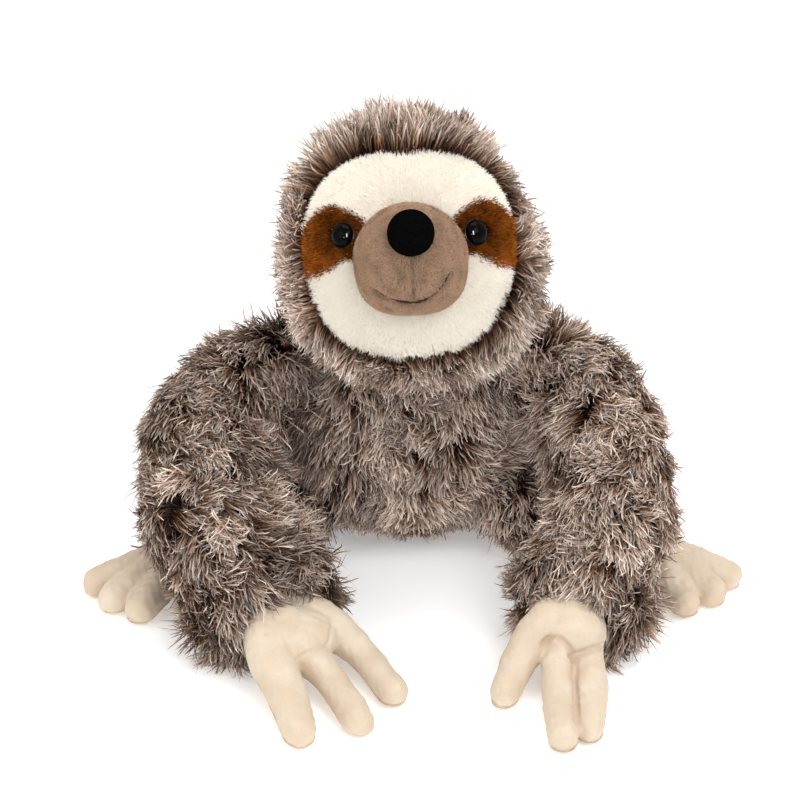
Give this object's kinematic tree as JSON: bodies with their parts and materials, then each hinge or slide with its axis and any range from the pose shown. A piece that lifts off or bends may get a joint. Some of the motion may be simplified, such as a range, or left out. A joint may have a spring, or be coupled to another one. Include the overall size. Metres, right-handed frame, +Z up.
{
  "type": "plush sloth",
  "caption": "Long-haired plush sloth that sits with both arms forward, with a cream face, rust-brown eye patches, long soft claws, a springy neck and floppy limbs.",
  "frame": {"origin": "middle of the flat rump face that the toy sits on, on the floor", "axes": "+Z up, -Y the way the toy faces, +X to the right of a viewer who faces it"},
  "size_m": [0.3177, 0.2623, 0.2196],
  "materials": {
    "fur": "long curly pile, dark roots and pale tips",
    "face_plush": "short cream pile",
    "eye_patch_plush": "short rust-brown pile",
    "muzzle_plush": "very short taupe pile",
    "nose_cloth": "smooth matte black",
    "eye_plastic": "glossy black",
    "washer_plastic": "plain moulded",
    "thread": "embroidery thread",
    "paw_suede": "beige suede cloth",
    "seam_cloth": "backing cloth folded in a seam",
    "stuffing": "loose fibre filling"
  },
  "bodies": {
    "torso": {"torso_cover": "fur", "torso_stuffing": "stuffing"},
    "neck_seam": {"neck_seam": "seam_cloth"},
    "head": {"head_cover": "fur", "head_stuffing": "stuffing", "face_panel": "face_plush", "eye_patch_left": "eye_patch_plush", "eye_patch_right": "eye_patch_plush", "eye_left": "eye_plastic", "eye_right": "eye_plastic", "eye_washer_left": "washer_plastic", "eye_washer_right": "washer_plastic", "muzzle_cover": "muzzle_plush", "muzzle_stuffing": "stuffing", "nose": "nose_cloth", "mouth_stitching": "thread"},
    "arm_left": {"arm_left_cover": "fur", "arm_left_stuffing": "stuffing"},
    "hand_left": {"hand_left_cover": "paw_suede", "hand_left_stuffing": "stuffing"},
    "leg_left": {"leg_left_cover": "fur", "leg_left_stuffing": "stuffing"},
    "foot_left": {"foot_left_cover": "paw_suede", "foot_left_stuffing": "stuffing"},
    "shoulder_seam_left": {"shoulder_seam_left": "seam_cloth"},
    "hip_seam_left": {"hip_seam_left": "seam_cloth"},
    "arm_right": {"arm_right_cover": "fur", "arm_right_stuffing": "stuffing"},
    "hand_right": {"hand_right_cover": "paw_suede", "hand_right_stuffing": "stuffing"},
    "leg_right": {"leg_right_cover": "fur", "leg_right_stuffing": "stuffing"},
    "foot_right": {"foot_right_cover": "paw_suede", "foot_right_stuffing": "stuffing"},
    "shoulder_seam_right": {"shoulder_seam_right": "seam_cloth"},
    "hip_seam_right": {"hip_seam_right": "seam_cloth"}
  },
  "joints": [
    {"name": "neck_turn", "type": "hinge", "parent": "torso", "child": "neck_seam", "pos_m": [0, -0.01, 0.087], "axis": [0, 0, 1], "range_deg": [-40, 40], "stiffness_Nm_per_rad": 0.3},
    {"name": "neck_nod", "type": "hinge", "parent": "neck_seam", "child": "head", "pos_m": [0, -0.01, 0.087], "axis": [-1, 0, 0], "range_deg": [-12, 18], "stiffness_Nm_per_rad": 0.5, "springref_deg": 2.86},
    {"name": "shoulder_swing_left", "type": "hinge", "parent": "torso", "child": "shoulder_seam_left", "pos_m": [-0.05863, -0.00407, 0.082], "axis": [-1, 0, 0], "range_deg": [0, 60]},
    {"name": "shoulder_lift_left", "type": "hinge", "parent": "shoulder_seam_left", "child": "arm_left", "pos_m": [-0.05863, -0.00407, 0.082], "axis": [0, 1, 0], "range_deg": [0, 40]},
    {"name": "wrist_flex_left", "type": "hinge", "parent": "arm_left", "child": "hand_left", "pos_m": [-0.06136, -0.1281, 0.02758], "axis": [0.811, 0.585, 0], "range_deg": [-20, 20], "stiffness_Nm_per_rad": 0.03},
    {"name": "hip_roll_left", "type": "hinge", "parent": "torso", "child": "hip_seam_left", "pos_m": [-0.05365, -0.02808, 0.024], "axis": [-0.8371, -0.5471, 0], "range_deg": [-20, 20]},
    {"name": "hip_drop_left", "type": "hinge", "parent": "hip_seam_left", "child": "leg_left", "pos_m": [-0.05365, -0.02808, 0.024], "axis": [0.5471, -0.8371, 0], "range_deg": [0, 40]},
    {"name": "ankle_flex_left", "type": "hinge", "parent": "leg_left", "child": "foot_left", "pos_m": [-0.11187, -0.0636, 0.01584], "axis": [0.5429, -0.8398, 0], "range_deg": [-20, 20], "stiffness_Nm_per_rad": 0.015},
    {"name": "shoulder_swing_right", "type": "hinge", "parent": "torso", "child": "shoulder_seam_right", "pos_m": [0.05863, -0.00407, 0.082], "axis": [-1, 0, 0], "range_deg": [0, 60]},
    {"name": "shoulder_lift_right", "type": "hinge", "parent": "shoulder_seam_right", "child": "arm_right", "pos_m": [0.05863, -0.00407, 0.082], "axis": [0, -1, 0], "range_deg": [0, 40]},
    {"name": "wrist_flex_right", "type": "hinge", "parent": "arm_right", "child": "hand_right", "pos_m": [0.07696, -0.1281, 0.02732], "axis": [0.9812, -0.193, 0], "range_deg": [-20, 20], "stiffness_Nm_per_rad": 0.03},
    {"name": "hip_roll_right", "type": "hinge", "parent": "torso", "child": "hip_seam_right", "pos_m": [0.05365, -0.02808, 0.024], "axis": [0.8371, -0.5471, 0], "range_deg": [-20, 20]},
    {"name": "hip_drop_right", "type": "hinge", "parent": "hip_seam_right", "child": "leg_right", "pos_m": [0.05365, -0.02808, 0.024], "axis": [0.5471, 0.8371, 0], "range_deg": [0, 40]},
    {"name": "ankle_flex_right", "type": "hinge", "parent": "leg_right", "child": "foot_right", "pos_m": [0.11639, -0.0576, 0.01584], "axis": [0.4233, 0.906, 0], "range_deg": [-20, 20], "stiffness_Nm_per_rad": 0.015}
  ]
}
